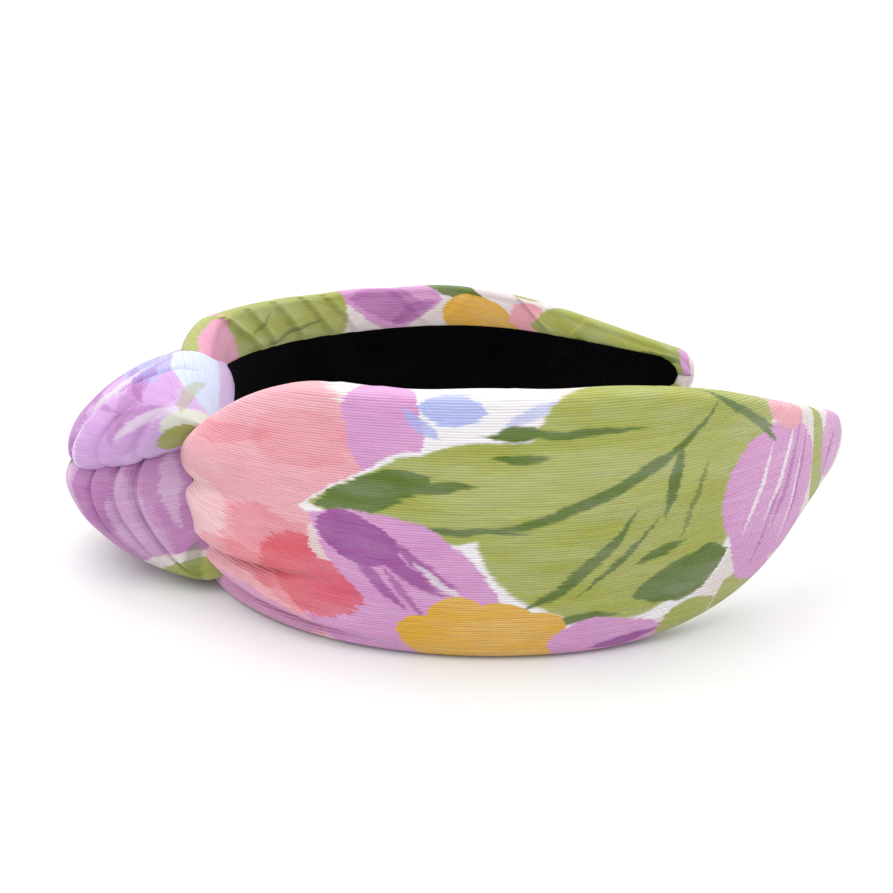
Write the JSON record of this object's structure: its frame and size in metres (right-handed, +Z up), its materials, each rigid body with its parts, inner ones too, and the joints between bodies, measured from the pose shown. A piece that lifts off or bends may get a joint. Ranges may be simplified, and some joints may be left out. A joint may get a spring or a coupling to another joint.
{
  "type": "knotted headband",
  "caption": "Sprung C-shaped hair band in printed cloth, velvet inside, tied in a large knot at the crown and tapering to rounded tips.",
  "frame": {"origin": "below the middle of the whole band, on the surface it lies on", "axes": "+X from the knotted crown to the open tips, +Y to the left arm, +Z up across the band's width, with the band lying on its lower edge"},
  "size_m": [0.1717, 0.1452, 0.049],
  "materials": {
    "printed_cloth": "matt slubbed plain weave with a painterly floral print",
    "velvet_lining": "short-pile black velvet",
    "hoop_plastic": "natural moulded plastic",
    "foam": "thin open-cell foam",
    "thread": "polyester sewing thread"
  },
  "bodies": {
    "crown": {"hoop_crown": "hoop_plastic", "foam_crown": "foam", "lining_crown": "velvet_lining", "knot_over_wrap": "printed_cloth", "knot_under_wrap": "printed_cloth", "knot_tacks": "thread"},
    "right_arm": {"right_hoop": "hoop_plastic", "right_foam": "foam", "right_cover": "printed_cloth", "right_lining": "velvet_lining", "right_tip_fold": "printed_cloth"},
    "left_arm": {"left_hoop": "hoop_plastic", "left_foam": "foam", "left_cover": "printed_cloth", "left_lining": "velvet_lining", "left_tip_fold": "printed_cloth"}
  },
  "joints": [
    {"name": "right_arm_flex", "type": "hinge", "parent": "crown", "child": "right_arm", "pos_m": [-0.05334, -0.022, 0.0245], "axis": [0, 0, -1], "range_deg": [-3, 12], "stiffness_Nm_per_rad": 1.2},
    {"name": "left_arm_flex", "type": "hinge", "parent": "crown", "child": "left_arm", "pos_m": [-0.05334, 0.022, 0.0245], "axis": [0, 0, 1], "range_deg": [-3, 12], "stiffness_Nm_per_rad": 1.2}
  ]
}
